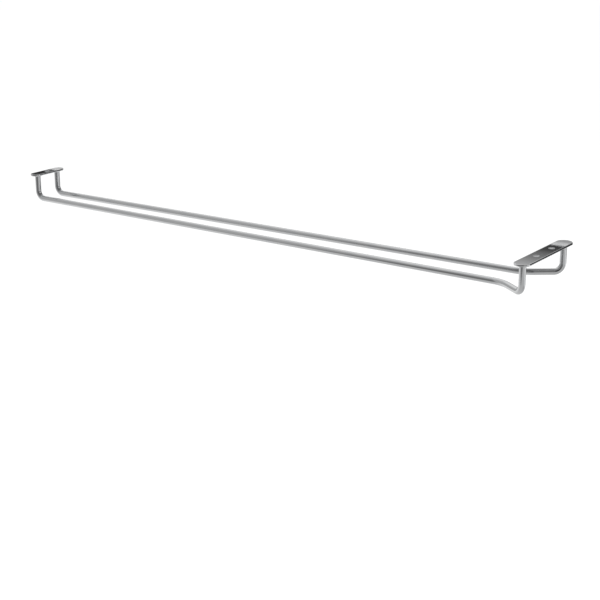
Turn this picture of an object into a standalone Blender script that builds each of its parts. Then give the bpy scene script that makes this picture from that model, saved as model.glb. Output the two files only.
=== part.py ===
"""A hanging wine glass rack: two bent round rails welded under two flat mounting plates.

Metres, +Z up. The plates' top faces lie on Z = 0, against the underside of a shelf. The origin is
the middle of the front plate's top face, +X runs out of the mouth, where the glasses go in, and the
rails run back along -X, a little closer together towards the back. Left and right are those of
someone who looks into the mouth.
"""

import math

import bmesh
import bpy
from mathutils import Quaternion, Vector

# The whole rack, over everything
OVERALL_LENGTH = 0.610
OVERALL_HEIGHT = 0.030

# The rails: one round wire each, bent up at both ends
WIRE_DIAMETER = 0.006
BACK_RAIL_SPACING = 0.029
MOUTH_RAIL_SPACING = 0.040
MOUTH_POST_SPACING = 0.080
FLARE_LENGTH = 0.028
POST_BEND_RADIUS = 0.008
FLARE_BEND_RADIUS = 0.030

# The plates: flat strip with round ends
FRONT_PLATE_WIDTH = 0.015
BACK_PLATE_WIDTH = 0.012
PLATE_THICKNESS = 0.0018
PLATE_OVERHANG = 0.008
PLATE_EDGE_ROUND = 0.00025

# The screw holes, countersunk from below: two in the front plate and one in the back plate
SCREW_HOLE_DIAMETER = 0.0048
COUNTERSINK_DIAMETER = 0.0074
FRONT_SCREW_SPACING = 0.030

# The weld beads round the tops of the posts
WELD_LEG = 0.0012

# Touching pieces keep this gap, and cutters run past what they cut by the overrun
SEAT_GAP = 0.0003
OVERRUN = 0.0003

ARC_STEP = math.radians(7.5)
WIRE_SIDES = 24
TURN_STEPS = 40
HOLE_STEPS = 32
BEAD_STEPS = 4
EDGE_SEGMENTS = 2
MERGE_DISTANCE = 0.000001
SHARP_ANGLE = math.radians(35)

wire_radius = WIRE_DIAMETER / 2
rail_height = wire_radius - OVERALL_HEIGHT
back_post_x = FRONT_PLATE_WIDTH / 2 + BACK_PLATE_WIDTH / 2 - OVERALL_LENGTH
post_top = -PLATE_THICKNESS - SEAT_GAP

CHROME_ON_WIRE = (0.60, 0.605, 0.61, 1.0)
CHROME_ON_PLATE = (0.58, 0.585, 0.59, 1.0)
CHROME_ON_WELD = (0.50, 0.505, 0.51, 1.0)


def clear_scene():
    for thing in list(bpy.data.objects):
        bpy.data.objects.remove(thing, do_unlink=True)


def new_collection(name):
    collection = bpy.data.collections.new(name)
    bpy.context.scene.collection.children.link(collection)
    return collection


def chrome(name, colour, roughness):
    material = bpy.data.materials.new(name)
    material.use_nodes = True
    surface = material.node_tree.nodes["Principled BSDF"]
    surface.inputs["Base Color"].default_value = colour
    surface.inputs["Metallic"].default_value = 1.0
    surface.inputs["Roughness"].default_value = roughness
    return material


def rounded_path(corners, radii):
    """The points of a line through the corners, whose inner corners are bent to the radii."""
    points = [corners[0]]
    for before, corner, after, radius in zip(corners, corners[1:], corners[2:], radii):
        back = (before - corner).normalized()
        onward = (after - corner).normalized()
        half = back.angle(onward) / 2
        turn = math.pi - 2 * half
        centre = corner + (back + onward).normalized() * (radius / math.sin(half))
        first = corner + back * (radius / math.tan(half)) - centre
        axis = back.cross(first).normalized()
        steps = math.ceil(turn / ARC_STEP)
        points += [centre + Quaternion(axis, turn * k / steps) @ first for k in range(steps + 1)]
    return points + [corners[-1]]


def bent_wire(name, points, material):
    """A round wire along the points, closed at both ends."""
    curve = bpy.data.curves.new(name, "CURVE")
    curve.dimensions = "3D"
    curve.bevel_depth = wire_radius
    curve.bevel_resolution = WIRE_SIDES // 2 - 2
    curve.use_fill_caps = True
    spline = curve.splines.new("POLY")
    spline.points.add(len(points) - 1)
    for place, point in zip(spline.points, points):
        place.co = (*point, 1)
    wire = bpy.data.objects.new(name, curve)
    curve.materials.append(material)
    rack.objects.link(wire)
    wire.parent = assembly
    return wire


def rail(name, side, material):
    """One rail. Side is -1 for the left rail and 1 for the right one."""
    back = side * BACK_RAIL_SPACING / 2
    throat = side * MOUTH_RAIL_SPACING / 2
    mouth = side * MOUTH_POST_SPACING / 2
    corners = [
        Vector((back_post_x, back, post_top)),
        Vector((back_post_x, back, rail_height)),
        Vector((-FLARE_LENGTH, throat, rail_height)),
        Vector((0, mouth, rail_height)),
        Vector((0, mouth, post_top)),
    ]
    radii = [POST_BEND_RADIUS, FLARE_BEND_RADIUS, POST_BEND_RADIUS]
    return bent_wire(name, rounded_path(corners, radii), material)


def add_ring(curve, points):
    spline = curve.splines.new("POLY")
    spline.points.add(len(points) - 1)
    for place, (x, y) in zip(spline.points, points):
        place.co = (x, y, 0, 1)
    spline.use_cyclic_u = True


def strip_outline(width, length):
    """A strip along Y whose ends are half circles as wide as the strip."""
    radius = width / 2
    reach = length / 2 - radius
    steps = math.ceil(math.pi / ARC_STEP)
    angles = [math.pi * k / steps for k in range(steps + 1)]
    far_end = [(radius * math.cos(a), reach + radius * math.sin(a)) for a in angles]
    near_end = [(-x, -y) for x, y in far_end]
    return far_end + near_end


def hole_outline(y):
    radius = SCREW_HOLE_DIAMETER / 2
    angles = [2 * math.pi * k / HOLE_STEPS for k in range(HOLE_STEPS)]
    return [(radius * math.cos(a), y + radius * math.sin(a)) for a in angles]


def turned(name, profile, steps, collection):
    """A ring turned about its own Z from a closed profile of (radius, height) points."""
    mesh = bpy.data.meshes.new(name)
    shape = bmesh.new()
    corners = [shape.verts.new((radius, 0, height)) for radius, height in profile]
    for corner, following in zip(corners, corners[1:] + corners[:1]):
        shape.edges.new((corner, following))
    shape.to_mesh(mesh)
    shape.free()
    body = bpy.data.objects.new(name, mesh)
    collection.objects.link(body)
    screw = body.modifiers.new("Turn", "SCREW")
    screw.steps = steps
    screw.render_steps = steps
    screw.use_merge_vertices = True
    screw.merge_threshold = MERGE_DISTANCE
    return body


def countersink_cutter(name, x, y):
    """A ring that opens a screw hole out at 45 degrees towards the plate's lower face."""
    inner = SCREW_HOLE_DIAMETER / 2 - OVERRUN
    outer = COUNTERSINK_DIAMETER / 2 + OVERRUN
    bottom = -PLATE_THICKNESS - OVERRUN
    profile = [(inner, bottom), (inner, bottom + outer - inner), (outer, bottom)]
    cutter = turned(name, profile, HOLE_STEPS, cutters)
    cutter.location = (x, y, 0)
    cutter.display_type = "WIRE"
    cutter.hide_render = True
    return cutter


def plate(name, x, width, post_spacing, hole_places, material):
    """A mounting plate: flat strip with round ends, round edges and countersunk screw holes."""
    length = post_spacing + 2 * PLATE_OVERHANG
    curve = bpy.data.curves.new(name, "CURVE")
    curve.dimensions = "2D"
    curve.fill_mode = "BOTH"
    curve.extrude = PLATE_THICKNESS / 2
    add_ring(curve, strip_outline(width, length))
    for y in hole_places:
        add_ring(curve, hole_outline(y))
    outline = bpy.data.objects.new(name + "_outline", curve)
    rack.objects.link(outline)
    outline.location = (x, 0, -PLATE_THICKNESS / 2)
    bpy.context.view_layer.update()
    graph = bpy.context.evaluated_depsgraph_get()
    mesh = bpy.data.meshes.new_from_object(outline.evaluated_get(graph))
    shape = bmesh.new()
    shape.from_mesh(mesh)
    bmesh.ops.remove_doubles(shape, verts=shape.verts, dist=MERGE_DISTANCE)
    bmesh.ops.recalc_face_normals(shape, faces=shape.faces)
    shape.to_mesh(mesh)
    shape.free()
    mesh.materials.clear()
    mesh.materials.append(material)
    strip = bpy.data.objects.new(name, mesh)
    strip.matrix_world = outline.matrix_world
    rack.objects.link(strip)
    strip.parent = assembly
    bpy.data.objects.remove(outline, do_unlink=True)
    edge = strip.modifiers.new("Edge", "BEVEL")
    edge.width = PLATE_EDGE_ROUND
    edge.segments = EDGE_SEGMENTS
    edge.limit_method = "ANGLE"
    edge.angle_limit = SHARP_ANGLE
    for number, y in enumerate(hole_places):
        sink = strip.modifiers.new("Countersink", "BOOLEAN")
        sink.operation = "DIFFERENCE"
        sink.solver = "EXACT"
        sink.object = countersink_cutter(f"{name}_countersink_{number}", x, y)
    return strip


def weld(name, x, y, material):
    """A bead round the top of a post, in the corner under the plate."""
    inner = wire_radius + SEAT_GAP
    angles = [math.pi / 2 * k / BEAD_STEPS for k in range(BEAD_STEPS + 1)]
    crown = [(inner + WELD_LEG * math.cos(a), -WELD_LEG * math.sin(a)) for a in angles]
    bead = turned(name, [(inner, 0), *crown], TURN_STEPS, rack)
    bead.location = (x, y, post_top)
    bead.parent = assembly
    bead.data.materials.append(material)
    return bead


clear_scene()
rack = new_collection("wine_glass_rack")
cutters = new_collection("cutters")
assembly = bpy.data.objects.new("rack_frame", None)
rack.objects.link(assembly)

wire_chrome = chrome("chrome_on_wire", CHROME_ON_WIRE, 0.12)
plate_chrome = chrome("chrome_on_plate", CHROME_ON_PLATE, 0.18)
weld_chrome = chrome("chrome_on_weld", CHROME_ON_WELD, 0.30)

front_holes = (-FRONT_SCREW_SPACING / 2, FRONT_SCREW_SPACING / 2)
front_plate = plate(
    "front_plate", 0, FRONT_PLATE_WIDTH, MOUTH_POST_SPACING, front_holes, plate_chrome
)
back_plate = plate(
    "back_plate", back_post_x, BACK_PLATE_WIDTH, BACK_RAIL_SPACING, (0,), plate_chrome
)

for side, hand in ((-1, "left"), (1, "right")):
    rail(f"{hand}_rail", side, wire_chrome)
    weld(f"front_{hand}_weld", 0, side * MOUTH_POST_SPACING / 2, weld_chrome)
    weld(f"back_{hand}_weld", back_post_x, side * BACK_RAIL_SPACING / 2, weld_chrome)

bpy.context.view_layer.update()
for piece in rack.objects:
    if piece.type == "MESH":
        piece.data.shade_smooth()
        piece.data.set_sharp_from_angle(angle=SHARP_ANGLE)
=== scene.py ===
"""Hanging wine glass rack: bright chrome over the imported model, seen as it hangs."""

import math

import bmesh
import bpy
from mathutils import Matrix, Quaternion, Vector


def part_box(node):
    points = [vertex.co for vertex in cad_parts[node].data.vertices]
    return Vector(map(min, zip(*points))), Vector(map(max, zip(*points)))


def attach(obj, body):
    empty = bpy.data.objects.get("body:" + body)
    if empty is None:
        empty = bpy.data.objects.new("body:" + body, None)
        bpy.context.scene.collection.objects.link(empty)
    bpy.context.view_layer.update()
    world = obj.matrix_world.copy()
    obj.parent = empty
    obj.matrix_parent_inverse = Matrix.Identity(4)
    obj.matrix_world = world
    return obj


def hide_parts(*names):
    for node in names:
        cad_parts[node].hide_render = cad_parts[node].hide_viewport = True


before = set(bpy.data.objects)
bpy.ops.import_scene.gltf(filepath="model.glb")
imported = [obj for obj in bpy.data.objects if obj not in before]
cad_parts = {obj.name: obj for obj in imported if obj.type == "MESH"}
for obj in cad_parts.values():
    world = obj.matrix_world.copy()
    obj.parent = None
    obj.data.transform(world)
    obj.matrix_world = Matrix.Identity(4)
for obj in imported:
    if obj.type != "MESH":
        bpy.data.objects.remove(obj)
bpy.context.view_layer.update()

# The camera looks along the rack from the mouth end, to the left of it and a little above it. Its
# focal length is given in pixels of the picture.
CAMERA_PLACE = (0.49064, -1.05258, 0.31524)
CAMERA_YAW = math.radians(-35.392)
CAMERA_PITCH = math.radians(17.362)
CAMERA_ROLL = math.radians(0.317)
FOCAL_PIXELS = 1379.7
PICTURE_WIDTH = 600
SENSOR_WIDTH = 36.0
NEAREST_SEEN = 0.01

lens = bpy.data.cameras.new("camera")
lens.sensor_fit = "HORIZONTAL"
lens.sensor_width = SENSOR_WIDTH
lens.lens = FOCAL_PIXELS / PICTURE_WIDTH * SENSOR_WIDTH
lens.clip_start = NEAREST_SEEN
camera = bpy.data.objects.new("camera", lens)
bpy.context.scene.collection.objects.link(camera)
turned = Matrix.Rotation(-CAMERA_YAW, 4, "Z") @ Matrix.Rotation(math.pi / 2 - CAMERA_PITCH, 4, "X")
camera.matrix_world = (
    Matrix.Translation(CAMERA_PLACE) @ turned @ Matrix.Rotation(-CAMERA_ROLL, 4, "Z")
)
bpy.context.scene.camera = camera

# Each rail is one round steel wire, drawn, cut to length, bent cold on pins and chrome plated. It
# goes down from the back plate, forward and slowly apart, outward at the mouth, and up to the front
# plate.
WIRE_RADIUS = 0.003
POST_BEND_RADIUS = 0.008
FLARE_BEND_RADIUS = 0.030
FLARE_LENGTH = 0.028
BACK_RAIL_SPACING = 0.029
MOUTH_RAIL_SPACING = 0.040
BEND_STEP = math.radians(3)
BEND_FLATTENING = 0.03
STRAIGHT_STEP = 0.012
WIRE_SIDES = 48
WIRE_SHARP_ANGLE = math.radians(50)
WIRE_CHROME = (0.60, 0.605, 0.61, 1)

plate_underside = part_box("front_plate")[0].z


def rounded_path(corners, radii):
    """Points along a wire bent at the corners, each with the way it bends there."""
    points = [(corners[0], Vector())]
    for before, corner, after, radius in zip(corners, corners[1:], corners[2:], radii):
        back = (before - corner).normalized()
        onward = (after - corner).normalized()
        half = back.angle(onward) / 2
        turn = math.pi - 2 * half
        middle = (back + onward).normalized()
        centre = corner + middle * (radius / math.sin(half))
        first = corner + back * (radius / math.tan(half)) - centre
        axis = back.cross(first).normalized()
        start = centre + first
        reach = (start - points[-1][0]).length
        pieces = max(1, round(reach / STRAIGHT_STEP))
        last = points[-1][0]
        points += [(last.lerp(start, k / pieces), Vector()) for k in range(1, pieces)]
        steps = math.ceil(turn / BEND_STEP)
        for k in range(steps + 1):
            arm = Quaternion(axis, turn * k / steps) @ first
            ease = math.sin(math.pi * k / steps)
            points.append((centre + arm, arm.normalized() * ease))
    return points + [(corners[-1], Vector())]


def finished_piece(name, shape, sharp_angle, material):
    """A piece with the shape's faces, smooth apart from edges over the sharp angle."""
    bmesh.ops.recalc_face_normals(shape, faces=shape.faces)
    mesh = bpy.data.meshes.new(name)
    shape.to_mesh(mesh)
    shape.free()
    mesh.shade_smooth()
    mesh.set_sharp_from_angle(angle=sharp_angle)
    mesh.materials.append(material)
    piece = bpy.data.objects.new(name, mesh)
    bpy.context.scene.collection.objects.link(piece)
    return piece


def drawn_wire(name, path, material):
    """A round wire along the path. Its lay attribute holds each point's place on the wire unbent."""
    shape = bmesh.new()
    lay = shape.verts.layers.float_vector.new("lay")
    rings = []
    along = 0.0
    side = None
    for k, (place, bend) in enumerate(path):
        before = path[max(k - 1, 0)][0]
        after = path[min(k + 1, len(path) - 1)][0]
        ahead = (after - before).normalized()
        if side is None:
            side = ahead.orthogonal().normalized()
        side = (side - ahead * side.dot(ahead)).normalized()
        other = ahead.cross(side)
        along += (place - before).length
        ring = []
        for j in range(WIRE_SIDES):
            angle = 2 * math.pi * j / WIRE_SIDES
            arm = (side * math.cos(angle) + other * math.sin(angle)) * WIRE_RADIUS
            arm -= bend * arm.dot(bend) * BEND_FLATTENING
            corner = shape.verts.new(place + arm)
            corner[lay] = (along, WIRE_RADIUS * math.cos(angle), WIRE_RADIUS * math.sin(angle))
            ring.append(corner)
        rings.append(ring)
    for ring, following in zip(rings, rings[1:]):
        for j in range(WIRE_SIDES):
            nearby = (j + 1) % WIRE_SIDES
            shape.faces.new((ring[j], ring[nearby], following[nearby], following[j]))
    shape.faces.new(list(reversed(rings[0])))
    shape.faces.new(rings[-1])
    return finished_piece(name, shape, WIRE_SHARP_ANGLE, material)


def group_sockets(group, inputs, outputs):
    """Gives a node group its named inputs and outputs, and returns the nodes that hold them."""
    for in_out, sockets in (("INPUT", inputs), ("OUTPUT", outputs)):
        for name, kind in sockets:
            group.interface.new_socket(name, in_out=in_out, socket_type=kind)
    return group.nodes.new("NodeGroupInput"), group.nodes.new("NodeGroupOutput")


CLOUD_FINENESS = 55.0
CLOUD_DETAIL = 5.0
CLOUD_RANGE = (0.42, 0.72)
CLOUD_TINT = (0.94, 0.95, 0.965, 1)
SWELL_FINENESS = 400.0
SWELL_DETAIL = 1.0


def bright_plating():
    """Chrome plating: a little uneven in tint and polish, with the faint swell of plated metal."""
    group = bpy.data.node_groups.new("bright_plating", "ShaderNodeTree")
    given, made = group_sockets(
        group,
        [
            ("Place", "NodeSocketVector"),
            ("Chrome", "NodeSocketColor"),
            ("Polish", "NodeSocketFloat"),
            ("Haze", "NodeSocketFloat"),
        ],
        [
            ("Colour", "NodeSocketColor"),
            ("Roughness", "NodeSocketFloat"),
            ("Swell", "NodeSocketFloat"),
        ],
    )
    nodes, links = group.nodes, group.links
    cloud = nodes.new("ShaderNodeTexNoise")
    cloud.inputs["Scale"].default_value = CLOUD_FINENESS
    cloud.inputs["Detail"].default_value = CLOUD_DETAIL
    links.new(given.outputs["Place"], cloud.inputs["Vector"])
    spread = nodes.new("ShaderNodeMapRange")
    spread.inputs["From Min"].default_value = CLOUD_RANGE[0]
    spread.inputs["From Max"].default_value = CLOUD_RANGE[1]
    links.new(cloud.outputs["Fac"], spread.inputs["Value"])
    darker = nodes.new("ShaderNodeMix")
    darker.data_type = "RGBA"
    darker.blend_type = "MULTIPLY"
    darker.inputs["B"].default_value = CLOUD_TINT
    links.new(spread.outputs["Result"], darker.inputs["Factor"])
    links.new(given.outputs["Chrome"], darker.inputs["A"])
    links.new(darker.outputs["Result"], made.inputs["Colour"])
    hazed = nodes.new("ShaderNodeMath")
    hazed.operation = "MULTIPLY_ADD"
    links.new(spread.outputs["Result"], hazed.inputs[0])
    links.new(given.outputs["Haze"], hazed.inputs[1])
    links.new(given.outputs["Polish"], hazed.inputs[2])
    links.new(hazed.outputs["Value"], made.inputs["Roughness"])
    swell = nodes.new("ShaderNodeTexNoise")
    swell.inputs["Scale"].default_value = SWELL_FINENESS
    swell.inputs["Detail"].default_value = SWELL_DETAIL
    links.new(given.outputs["Place"], swell.inputs["Vector"])
    links.new(swell.outputs["Fac"], made.inputs["Swell"])
    return group


LINE_DETAIL = 3.0
SCRATCH_RANGE = (0.66, 0.80)


def fine_lines():
    """Fine lines along the way that the metal was drawn, rolled or polished."""
    group = bpy.data.node_groups.new("fine_lines", "ShaderNodeTree")
    given, made = group_sockets(
        group,
        [
            ("Place", "NodeSocketVector"),
            ("Stretch", "NodeSocketVector"),
            ("Fineness", "NodeSocketFloat"),
        ],
        [("Lines", "NodeSocketFloat"), ("Scratches", "NodeSocketFloat")],
    )
    nodes, links = group.nodes, group.links
    pulled = nodes.new("ShaderNodeVectorMath")
    pulled.operation = "MULTIPLY"
    links.new(given.outputs["Place"], pulled.inputs[0])
    links.new(given.outputs["Stretch"], pulled.inputs[1])
    grain = nodes.new("ShaderNodeTexNoise")
    grain.inputs["Detail"].default_value = LINE_DETAIL
    links.new(pulled.outputs["Vector"], grain.inputs["Vector"])
    links.new(given.outputs["Fineness"], grain.inputs["Scale"])
    links.new(grain.outputs["Fac"], made.inputs["Lines"])
    sparse = nodes.new("ShaderNodeMapRange")
    sparse.inputs["From Min"].default_value = SCRATCH_RANGE[0]
    sparse.inputs["From Max"].default_value = SCRATCH_RANGE[1]
    links.new(grain.outputs["Fac"], sparse.inputs["Value"])
    links.new(sparse.outputs["Result"], made.inputs["Scratches"])
    return group


plating_group = bright_plating()
lines_group = fine_lines()
SCRATCH_ROUGHNESS = 0.10


def chrome(name, colour, polish, haze, place, stretch, fineness, swell_depth, line_depth):
    """Bright chrome. Place is the attribute or coordinate that the marks follow."""
    material = bpy.data.materials.new(name)
    material.use_nodes = True
    nodes, links = material.node_tree.nodes, material.node_tree.links
    surface = nodes["Principled BSDF"]
    surface.inputs["Metallic"].default_value = 1.0
    if place == "Object":
        source = nodes.new("ShaderNodeTexCoord").outputs["Object"]
    else:
        held = nodes.new("ShaderNodeAttribute")
        held.attribute_name = place
        source = held.outputs["Vector"]
    plating = nodes.new("ShaderNodeGroup")
    plating.node_tree = plating_group
    plating.inputs["Chrome"].default_value = colour
    plating.inputs["Polish"].default_value = polish
    plating.inputs["Haze"].default_value = haze
    links.new(source, plating.inputs["Place"])
    links.new(plating.outputs["Colour"], surface.inputs["Base Color"])
    lines = nodes.new("ShaderNodeGroup")
    lines.node_tree = lines_group
    lines.inputs["Stretch"].default_value = stretch
    lines.inputs["Fineness"].default_value = fineness
    links.new(source, lines.inputs["Place"])
    scratched = nodes.new("ShaderNodeMath")
    scratched.operation = "MULTIPLY_ADD"
    scratched.inputs[1].default_value = SCRATCH_ROUGHNESS
    links.new(lines.outputs["Scratches"], scratched.inputs[0])
    links.new(plating.outputs["Roughness"], scratched.inputs[2])
    links.new(scratched.outputs["Value"], surface.inputs["Roughness"])
    swell = nodes.new("ShaderNodeBump")
    swell.inputs["Distance"].default_value = swell_depth
    links.new(plating.outputs["Swell"], swell.inputs["Height"])
    marks = nodes.new("ShaderNodeBump")
    marks.inputs["Distance"].default_value = line_depth
    links.new(lines.outputs["Lines"], marks.inputs["Height"])
    links.new(swell.outputs["Normal"], marks.inputs["Normal"])
    links.new(marks.outputs["Normal"], surface.inputs["Normal"])
    return material


wire_chrome = chrome(
    "chrome_on_drawn_wire",
    colour=WIRE_CHROME,
    polish=0.05,
    haze=0.05,
    place="lay",
    stretch=(0.03, 1, 1),
    fineness=3500.0,
    swell_depth=4e-6,
    line_depth=3e-7,
)
for side, hand in ((-1, "left"), (1, "right")):
    low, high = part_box(f"{hand}_rail")
    back_x = low.x + WIRE_RADIUS
    mouth_y = side * (max(abs(low.y), abs(high.y)) - WIRE_RADIUS)
    back_y = side * BACK_RAIL_SPACING / 2
    throat_y = side * MOUTH_RAIL_SPACING / 2
    rail_z = low.z + WIRE_RADIUS
    corners = [
        Vector((back_x, back_y, plate_underside)),
        Vector((back_x, back_y, rail_z)),
        Vector((-FLARE_LENGTH, throat_y, rail_z)),
        Vector((0, mouth_y, rail_z)),
        Vector((0, mouth_y, plate_underside)),
    ]
    path = rounded_path(corners, (POST_BEND_RADIUS, FLARE_BEND_RADIUS, POST_BEND_RADIUS))
    wire = drawn_wire(f"{hand}_rail_wire", path, wire_chrome)
    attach(wire, "root")
    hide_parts(f"{hand}_rail")

# The plates are cut and pierced from flat steel strip with round ends. The die draws the top edges
# down a little, tumbling breaks the lower ones, and the screw holes are countersunk from below. They
# are chrome plated together with the rails.
DIE_ROLL = 0.0004
DIE_ROLL_DEPTH = 0.0003
HOLE_ROLL = DIE_ROLL / 2
HOLE_ROLL_DEPTH = DIE_ROLL_DEPTH / 2
LOWER_EDGE_ROUND = 0.00015
EDGE_MARGIN = 0.0004
HOLE_RADIUS = 0.0024
COUNTERSINK_RADIUS = 0.0037
FRONT_HOLES = (-0.015, 0.015)
BACK_HOLES = (0.0,)
ROLL_STEPS = 5
END_STEPS = 40
HOLE_STEPS = 48
PLATE_SHARP_ANGLE = math.radians(35)
PLATE_CHROME = (0.58, 0.585, 0.59, 1)


def drawn_edge(roll, depth):
    """The section of an upper edge that the die has drawn round, from the top face down."""
    quarter = [math.pi / 2 * k / ROLL_STEPS for k in range(ROLL_STEPS + 1)]
    curve = [(roll * (1 - math.sin(a)), -depth * (1 - math.cos(a))) for a in quarter]
    return [(roll + EDGE_MARGIN, 0), *curve]


def cut_edge(thickness):
    """The section of the plate's outer edge, from the top face round to the lower face."""
    lower = []
    for k in range(ROLL_STEPS + 1):
        angle = math.pi / 2 * k / ROLL_STEPS
        inset = LOWER_EDGE_ROUND * (1 - math.cos(angle))
        lower.append((inset, -thickness + LOWER_EDGE_ROUND * (1 - math.sin(angle))))
    low_rest = (LOWER_EDGE_ROUND + EDGE_MARGIN, -thickness)
    return [*drawn_edge(DIE_ROLL, DIE_ROLL_DEPTH), *lower, low_rest]


def hole_edge(thickness):
    """The section of a screw hole, from the top face through the countersink to the lower face."""
    width = COUNTERSINK_RADIUS - HOLE_RADIUS
    land = (0, width - thickness)
    rim = (width, -thickness)
    low_rest = (width + EDGE_MARGIN, -thickness)
    return [*drawn_edge(HOLE_ROLL, HOLE_ROLL_DEPTH), land, rim, low_rest]


def strip_ring(low, high, inset):
    """The outline of a strip along Y with round ends, drawn in by the inset."""
    middle_x = (low.x + high.x) / 2
    half_width = (high.x - low.x) / 2
    ring = []
    for end, turn in ((high.y - half_width, 0), (low.y + half_width, math.pi)):
        for k in range(END_STEPS + 1):
            angle = turn + math.pi * k / END_STEPS
            reach = half_width - inset
            ring.append((middle_x + reach * math.cos(angle), end + reach * math.sin(angle)))
    return ring


def hole_ring(x, y, inset):
    angles = [2 * math.pi * k / HOLE_STEPS for k in range(HOLE_STEPS)]
    reach = HOLE_RADIUS + inset
    return [(x + reach * math.cos(a), y + reach * math.sin(a)) for a in angles]


def pierced_plate(name, low, high, hole_places, material):
    """A plate with its edges drawn round, and screw holes pierced through it."""
    shape = bmesh.new()
    outer = cut_edge(high.z - low.z)
    inner = hole_edge(high.z - low.z)
    middle_x = (low.x + high.x) / 2
    faces_rims = ([], [])
    outlines = [[(strip_ring(low, high, inset), depth) for inset, depth in outer]]
    for y in hole_places:
        outlines.append([(hole_ring(middle_x, y, inset), depth) for inset, depth in inner])
    for rings in outlines:
        rows = [[shape.verts.new((x, y, high.z + depth)) for x, y in ring] for ring, depth in rings]
        for row, following in zip(rows, rows[1:]):
            for j in range(len(row)):
                nearby = (j + 1) % len(row)
                shape.faces.new((row[j], row[nearby], following[nearby], following[j]))
        for rims, row in zip(faces_rims, (rows[0], rows[-1])):
            for j in range(len(row)):
                rims.append(shape.edges.get((row[j], row[(j + 1) % len(row)])))
    for rims in faces_rims:
        bmesh.ops.triangle_fill(shape, use_beauty=True, edges=rims)
    return finished_piece(name, shape, PLATE_SHARP_ANGLE, material)


plate_chrome = chrome(
    "chrome_on_strip",
    colour=PLATE_CHROME,
    polish=0.01,
    haze=0.02,
    place="Object",
    stretch=(1, 0.04, 1),
    fineness=2500.0,
    swell_depth=1e-6,
    line_depth=1e-7,
)
for end, hole_places in (("front", FRONT_HOLES), ("back", BACK_HOLES)):
    low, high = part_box(f"{end}_plate")
    plate = pierced_plate(f"{end}_mounting_plate", low, high, hole_places, plate_chrome)
    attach(plate, "root")
    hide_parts(f"{end}_plate")

# The posts are welded up against the undersides of the plates. Each weld leaves a small uneven
# collar of upset metal round the post, which the plating covers but does not smooth.
WELD_RINGS = 12
WELD_SIDES = 96
WELD_SINK = 0.00015
WELD_RIPPLES = ((3, 0.10, 0.7), (7, 0.07, 2.1), (13, 0.05, 4.0), (29, 0.03, 1.3))
RIPPLE_TURN = 1.7
WELD_SHARP_ANGLE = math.radians(60)
WELD_CHROME = (0.50, 0.505, 0.51, 1)


def weld_collar(name, low, high, start, material):
    """A collar round the top of a post. Start turns its ripples, so that no two are alike."""
    centre = (low + high) / 2
    leg = (high.x - low.x) / 2 - WIRE_RADIUS
    inner = WIRE_RADIUS - WELD_SINK
    rises = [math.pi / 2 * k / WELD_RINGS for k in range(WELD_RINGS + 1)]
    shape = bmesh.new()
    rows = []
    for j in range(WELD_SIDES):
        angle = 2 * math.pi * j / WELD_SIDES
        swell = 1 + sum(
            depth * math.sin(count * angle + phase + start * count)
            for count, depth, phase in WELD_RIPPLES
        )
        size = leg * swell + WELD_SINK
        section = [(inner + size * math.cos(a), WELD_SINK - size * math.sin(a)) for a in rises]
        row = []
        for reach, depth in [*section, (inner, WELD_SINK)]:
            x = centre.x + reach * math.cos(angle)
            y = centre.y + reach * math.sin(angle)
            row.append(shape.verts.new((x, y, plate_underside + depth)))
        rows.append(row)
    for row, following in zip(rows, rows[1:] + rows[:1]):
        for k in range(len(row)):
            nearby = (k + 1) % len(row)
            shape.faces.new((row[k], following[k], following[nearby], row[nearby]))
    return finished_piece(name, shape, WELD_SHARP_ANGLE, material)


weld_chrome = chrome(
    "chrome_on_weld",
    colour=WELD_CHROME,
    polish=0.14,
    haze=0.14,
    place="Object",
    stretch=(1, 1, 1),
    fineness=1800.0,
    swell_depth=2e-5,
    line_depth=4e-6,
)
for number, node in enumerate(
    ("front_left_weld", "front_right_weld", "back_left_weld", "back_right_weld")
):
    low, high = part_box(node)
    collar = weld_collar(f"{node}_collar", low, high, number * RIPPLE_TURN, weld_chrome)
    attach(collar, "root")
    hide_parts(node)

# The floor is pale and plain, as far below as a worktop is below a wall cupboard. It looks white
# wherever nothing shades it.
FLOOR_DROP = 0.50
FLOOR_HALF = 30.0
FLOOR_COLOUR = (0.82, 0.82, 0.82, 1)
FLOOR_LIFT = 0.31

floor_mesh = bpy.data.meshes.new("floor")
floor_mesh.from_pydata(
    [
        (-FLOOR_HALF, -FLOOR_HALF, -FLOOR_DROP),
        (FLOOR_HALF, -FLOOR_HALF, -FLOOR_DROP),
        (FLOOR_HALF, FLOOR_HALF, -FLOOR_DROP),
        (-FLOOR_HALF, FLOOR_HALF, -FLOOR_DROP),
    ],
    [],
    [(0, 1, 2, 3)],
)
floor = bpy.data.objects.new("floor", floor_mesh)
bpy.context.scene.collection.objects.link(floor)


def seen_directly_or_in_metal(tree):
    """1 on camera, glossy and transmission rays, and 0 on the rest."""
    path = tree.nodes.new("ShaderNodeLightPath")
    total = path.outputs["Is Camera Ray"]
    for name in ("Is Glossy Ray", "Is Transmission Ray"):
        joined = tree.nodes.new("ShaderNodeMath")
        joined.operation = "ADD"
        joined.use_clamp = True
        tree.links.new(total, joined.inputs[0])
        tree.links.new(path.outputs[name], joined.inputs[1])
        total = joined.outputs["Value"]
    return total


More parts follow.
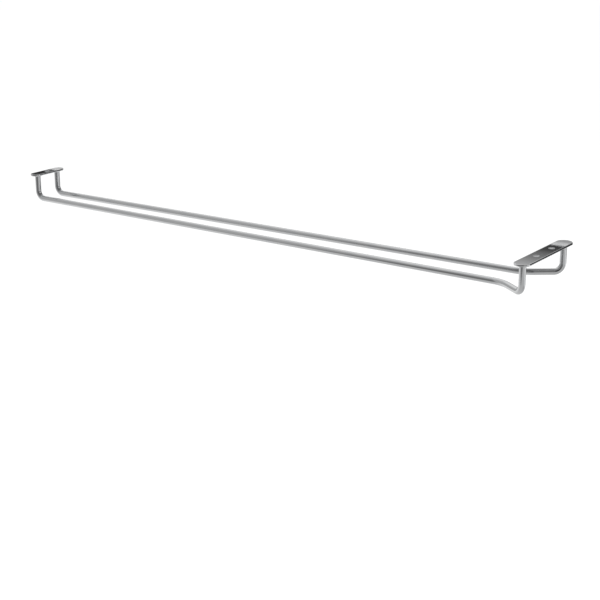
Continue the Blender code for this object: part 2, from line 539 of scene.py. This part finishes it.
floor_paint = bpy.data.materials.new("pale_floor")
floor_paint.use_nodes = True
tree = floor_paint.node_tree
tree.nodes.clear()
matt = tree.nodes.new("ShaderNodeBsdfDiffuse")
matt.inputs["Color"].default_value = FLOOR_COLOUR
glow = tree.nodes.new("ShaderNodeEmission")
lifted = tree.nodes.new("ShaderNodeMath")
lifted.operation = "MULTIPLY"
lifted.inputs[1].default_value = FLOOR_LIFT
tree.links.new(seen_directly_or_in_metal(tree), lifted.inputs[0])
tree.links.new(lifted.outputs["Value"], glow.inputs["Strength"])
both = tree.nodes.new("ShaderNodeAddShader")
tree.links.new(matt.outputs["BSDF"], both.inputs[0])
tree.links.new(glow.outputs["Emission"], both.inputs[1])
shown = tree.nodes.new("ShaderNodeOutputMaterial")
tree.links.new(both.outputs["Shader"], shown.inputs["Surface"])
floor_mesh.materials.append(floor_paint)

# Only reflections see the studio cards, which give the chrome its dark and light bands: a board
# behind, a cloth in front, a flag on the right, a hood overhead, and cards on the left and off the
# mouth. A tone of 1 is white.
card_paint = bpy.data.materials.new("studio_card")
card_paint.use_nodes = True
tree = card_paint.node_tree
tree.nodes.clear()
tone = tree.nodes.new("ShaderNodeAttribute")
tone.attribute_name = "tone"
glow = tree.nodes.new("ShaderNodeEmission")
tree.links.new(tone.outputs["Fac"], glow.inputs["Strength"])
shown = tree.nodes.new("ShaderNodeOutputMaterial")
tree.links.new(glow.outputs["Emission"], shown.inputs["Surface"])


def studio_card(name, rows):
    """A card from rows of (x, y, z, tone) points."""
    mesh = bpy.data.meshes.new(name)
    width = len(rows[0])
    places = [point[:3] for row in rows for point in row]
    faces = [
        (k * width + j, k * width + j + 1, (k + 1) * width + j + 1, (k + 1) * width + j)
        for k in range(len(rows) - 1)
        for j in range(width - 1)
    ]
    mesh.from_pydata(places, [], faces)
    tones = mesh.attributes.new("tone", "FLOAT", "POINT")
    tones.data.foreach_set("value", [point[3] for row in rows for point in row])
    mesh.materials.append(card_paint)
    card = bpy.data.objects.new(name, mesh)
    bpy.context.scene.collection.objects.link(card)
    card.visible_camera = False
    card.visible_diffuse = False
    card.visible_transmission = False
    card.visible_volume_scatter = False
    card.visible_shadow = False
    return card


# The board is pale, with a dark gap over its top edge. Each of its rows is (z, a tone for each point
# of its line).
BOARD_LINE = ((-5.0, 2.047), (-2.6, 2.047), (-1.4, 2.0805), (3.0, 2.268))
BOARD_ROWS = (
    (-0.499, (0.75, 0.75, 0.75, 0.75)),
    (0.0, (0.60, 0.60, 0.60, 0.60)),
    (0.560, (0.45, 0.45, 0.45, 0.45)),
    (0.594, (0.45, 0.45, 0.45, 0.45)),
    (0.600, (0.83, 0.83, 0.83, 0.83)),
    (0.6055, (0.83, 0.83, 0.83, 0.83)),
    (0.606, (0.04, 0.04, 0.05, 0.05)),
    (0.622, (0.04, 0.04, 0.09, 0.09)),
    (0.632, (0.06, 0.06, 0.20, 0.20)),
    (0.648, (0.12, 0.12, 0.30, 0.30)),
    (0.668, (0.52, 0.52, 0.52, 0.52)),
    (0.690, (0.80, 0.80, 0.80, 0.80)),
    (0.720, (1.0, 1.0, 1.0, 1.0)),
)
studio_card(
    "back_board",
    [[(x, y, z, tone) for (x, y), tone in zip(BOARD_LINE, tones)] for z, tones in BOARD_ROWS],
)

# The cloth comes down in front, dark in its middle, and runs in over the floor. Each of its rows is
# (y, z, a tone for each of its columns).
CLOTH_COLUMNS = (-3.6, -2.2, -1.7, -1.4, -1.0, -0.4, 0.4, 0.6, 1.2, 1.4, 2.4, 3.4)
CLOTH_ROWS = (
    (0.80, -0.498, (1.0, 1.0, 1.0, 1.0, 1.0, 1.0, 1.0, 1.0, 1.0, 1.0, 1.0, 1.0)),
    (0.40, -0.498, (1.0, 1.0, 1.0, 1.0, 1.0, 0.95, 0.60, 0.60, 0.70, 0.80, 1.0, 1.0)),
    (-0.05, -0.498, (1.0, 1.0, 1.0, 1.0, 1.0, 0.80, 0.55, 0.55, 0.60, 0.65, 1.0, 1.0)),
    (-0.40, -0.498, (1.0, 1.0, 0.95, 0.95, 0.90, 0.65, 0.65, 0.65, 0.65, 0.65, 0.70, 0.75)),
    (-1.00, -0.498, (0.8, 0.80, 0.80, 0.80, 0.72, 0.62, 0.65, 0.65, 0.65, 0.65, 0.65, 0.65)),
    (-1.25, -0.498, (0.6, 0.60, 0.40, 0.45, 0.60, 0.62, 0.65, 0.65, 0.65, 0.65, 0.62, 0.62)),
    (-1.50, -0.498, (0.6, 0.60, 0.25, 0.35, 0.50, 0.60, 0.65, 0.65, 0.65, 0.65, 0.60, 0.60)),
    (-1.50, -0.488, (0.6, 0.60, 0.25, 0.35, 0.40, 0.55, 0.60, 0.60, 0.60, 0.60, 0.60, 0.60)),
    (-1.50, -0.455, (0.6, 0.60, 0.40, 0.40, 0.22, 0.22, 0.20, 0.22, 0.22, 0.35, 0.55, 0.60)),
    (-1.50, -0.05, (0.6, 0.60, 0.58, 0.52, 0.22, 0.22, 0.18, 0.12, 0.12, 0.30, 0.50, 0.55)),
    (-1.50, 0.05, (0.6, 0.60, 0.58, 0.52, 0.22, 0.22, 0.18, 0.02, 0.02, 0.30, 0.50, 0.55)),
    (-1.50, 0.30, (0.6, 0.55, 0.56, 0.52, 0.24, 0.22, 0.18, 0.02, 0.02, 0.30, 0.50, 0.50)),
    (-1.50, 0.55, (0.6, 0.55, 0.56, 0.52, 0.26, 0.22, 0.18, 0.02, 0.02, 0.20, 0.25, 0.30)),
    (-1.50, 1.90, (0.6, 0.55, 0.58, 0.55, 0.35, 0.22, 0.18, 0.12, 0.12, 0.20, 0.20, 0.25)),
)
studio_card(
    "front_cloth",
    [[(x, y, z, tone) for x, tone in zip(CLOTH_COLUMNS, tones)] for y, z, tones in CLOTH_ROWS],
)

# The flag darkens the plates' edges. Each of its rows is (z, a tone for each of its columns).
FLAG_Y = 1.5
FLAG_COLUMNS = (-0.55, -0.15, 0.05, 0.75, 1.4, 1.8)
FLAG_ROWS = (
    (-0.499, (0.75, 0.75, 0.05, 0.05, 0.05, 0.75)),
    (0.50, (0.75, 0.75, 0.05, 0.05, 0.05, 0.75)),
    (0.62, (0.75, 0.05, 0.05, 0.05, 0.05, 0.75)),
    (1.90, (0.05, 0.05, 0.05, 0.05, 0.05, 0.75)),
)
studio_card(
    "side_flag",
    [[(x, FLAG_Y, z, tone) for x, tone in zip(FLAG_COLUMNS, tones)] for z, tones in FLAG_ROWS],
)

# The hood joins the flag to the cloth overhead. Each of its rows is (y, a tone for each column).
HOOD_HEIGHT = 1.902
HOOD_COLUMNS = (-3.6, -2.3, -1.6, -1.2, -0.9, 0.1, 1.0, 3.2)
HOOD_ROWS = (
    (-1.50, (0.60, 0.55, 0.55, 0.50, 0.35, 0.20, 0.20, 0.20)),
    (-0.20, (0.65, 0.62, 0.70, 0.85, 0.60, 0.20, 0.20, 0.20)),
    (0.60, (0.80, 0.80, 1.0, 1.0, 1.0, 0.20, 0.20, 0.20)),
    (1.49, (1.0, 1.0, 1.0, 1.0, 1.0, 0.03, 0.10, 0.30)),
)
studio_card(
    "hood",
    [[(x, y, HOOD_HEIGHT, tone) for x, tone in zip(HOOD_COLUMNS, tones)] for y, tones in HOOD_ROWS],
)

# The left card is what the near flare shows. Each of its rows is (z, a tone for each column).
LEFT_CARD_X = -3.4
LEFT_CARD_Y = (-1.5, 1.0, 1.95)
LEFT_CARD_ROWS = (
    (-0.499, (0.55, 0.55, 0.55)),
    (1.40, (0.55, 0.55, 0.55)),
    (2.20, (1.0, 1.0, 1.0)),
)
studio_card(
    "left_card",
    [
        [(LEFT_CARD_X, y, z, tone) for y, tone in zip(LEFT_CARD_Y, tones)]
        for z, tones in LEFT_CARD_ROWS
    ],
)

# The mouth card is the dark spot inside each back bend. Its rows are like those of the left card.
MOUTH_CARD_X = 3.4
MOUTH_CARD_Y = (-1.5, -1.1, -0.9, 0.3, 0.5, 1.5)
MOUTH_CARD_ROWS = (
    (-0.46, (0.6, 0.0, 0.0, 0.0, 0.0, 0.6)),
    (0.55, (0.6, 0.0, 0.0, 0.0, 0.0, 0.6)),
    (0.75, (0.8, 0.8, 0.8, 0.8, 0.8, 0.8)),
)
studio_card(
    "mouth_card",
    [
        [(MOUTH_CARD_X, y, z, tone) for y, tone in zip(MOUTH_CARD_Y, tones)]
        for z, tones in MOUTH_CARD_ROWS
    ],
)

# A wide soft lamp hangs over the rack, and an even pale surround lights the rest. The surround is
# white where it is seen, directly or in the metal.
LAMP_SIZE = 2.4
LAMP_PLACE = (-0.3, 0.0, 2.0)
LAMP_POWER = 10.0
SURROUND_COLOUR = (1, 1, 1, 1)
SURROUND_LIGHT = 0.85
SURROUND_SEEN = 1.0

lamp = bpy.data.lights.new("soft_lamp", "AREA")
lamp.shape = "SQUARE"
lamp.size = LAMP_SIZE
lamp.energy = LAMP_POWER
lamp_stand = bpy.data.objects.new("soft_lamp", lamp)
lamp_stand.location = LAMP_PLACE
lamp_stand.visible_glossy = False
bpy.context.scene.collection.objects.link(lamp_stand)

world = bpy.data.worlds.new("surround")
world.use_nodes = True
tree = world.node_tree
tree.nodes.clear()
seen = tree.nodes.new("ShaderNodeBackground")
seen.inputs["Strength"].default_value = SURROUND_SEEN
light = tree.nodes.new("ShaderNodeBackground")
light.inputs["Strength"].default_value = SURROUND_LIGHT
for background in (seen, light):
    background.inputs["Color"].default_value = SURROUND_COLOUR
chosen = tree.nodes.new("ShaderNodeMixShader")
tree.links.new(seen_directly_or_in_metal(tree), chosen.inputs["Fac"])
tree.links.new(light.outputs["Background"], chosen.inputs[1])
tree.links.new(seen.outputs["Background"], chosen.inputs[2])
shown = tree.nodes.new("ShaderNodeOutputWorld")
tree.links.new(chosen.outputs["Shader"], shown.inputs["Surface"])
bpy.context.scene.world = world
bpy.context.scene.view_settings.view_transform = "Standard"
